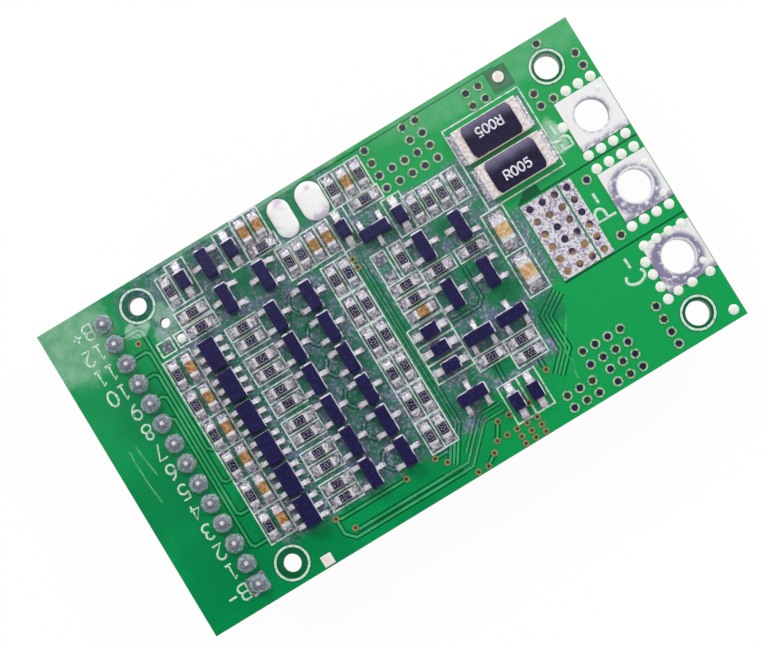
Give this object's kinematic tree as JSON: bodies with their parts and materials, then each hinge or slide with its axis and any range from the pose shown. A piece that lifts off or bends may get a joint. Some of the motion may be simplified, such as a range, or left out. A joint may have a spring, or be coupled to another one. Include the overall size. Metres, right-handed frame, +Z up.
{
  "type": "battery management board",
  "caption": "Green circuit board with cell monitor chips, current shunts, wire terminals, and a cell header and power transistors on its underside.",
  "frame": {"origin": "under the middle of the board, at the lowest face of the header's housing", "axes": "+X along the board towards the wire terminals, +Y across it towards the battery negative terminal, +Z up out of the component side"},
  "size_m": [0.0534, 0.03, 0.0076],
  "materials": {
    "laminate": "glass epoxy laminate under green solder mask",
    "board_mask": "green solder mask over a copper pour",
    "masked_copper": "green solder mask over a copper line",
    "plug_resin": "resin and solder that fill the via holes",
    "solder_tin": "hot air levelled solder, frosty",
    "bright_tin": "bright solder coat",
    "pin_solder": "dull solder",
    "legend_ink": "white printed ink",
    "header_nylon": "natural moulded nylon",
    "pin_tin": "tinned pin",
    "via_gold": "thin gold wash",
    "mould_compound": "black epoxy moulding compound",
    "lead_tin": "matte tin",
    "alumina": "white sintered alumina",
    "black_glaze": "black overglaze",
    "cap_tin": "plated tin",
    "capacitor_ceramic": "tan sintered ceramic"
  },
  "bodies": {
    "root": {"board": "laminate", "copper_pours": "board_mask", "top_tracks": "masked_copper", "underside_tracks": "masked_copper", "component_lands": "solder_tin", "solder_fillets": "solder_tin", "legend_frames": "legend_ink", "legend_rings": "legend_ink", "pin_lands": "solder_tin", "pin_solder_joints": "pin_solder", "header_housing": "header_nylon", "header_pins": "pin_tin", "signal_vias": "via_gold", "signal_via_plugs": "plug_resin", "power_vias": "solder_tin", "power_via_plugs": "plug_resin", "heat_via_block": "bright_tin", "heat_via_plugs": "plug_resin", "battery_negative_pad": "bright_tin", "pack_negative_pad": "bright_tin", "charge_negative_pad": "bright_tin", "solder_dots": "bright_tin", "sensor_pads": "bright_tin", "fiducials": "via_gold", "monitor_chip_bodies": "mould_compound", "monitor_chip_leads": "lead_tin", "transistor_bodies": "mould_compound", "transistor_leads": "lead_tin", "diode_bodies": "mould_compound", "diode_leads": "lead_tin", "resistor_ceramics": "alumina", "resistor_coats": "black_glaze", "resistor_end_caps": "cap_tin", "capacitor_bodies": "capacitor_ceramic", "capacitor_end_caps": "cap_tin", "bulk_capacitor_bodies": "capacitor_ceramic", "bulk_capacitor_end_caps": "cap_tin", "shunt_bodies": "alumina", "shunt_coats": "black_glaze", "shunt_end_caps": "cap_tin", "drain_pour": "solder_tin", "power_lead_lands": "solder_tin", "power_transistor_bodies": "mould_compound", "power_transistor_tabs": "lead_tin", "power_transistor_leads": "lead_tin", "power_solder_fillets": "solder_tin"}
  },
  "joints": []
}
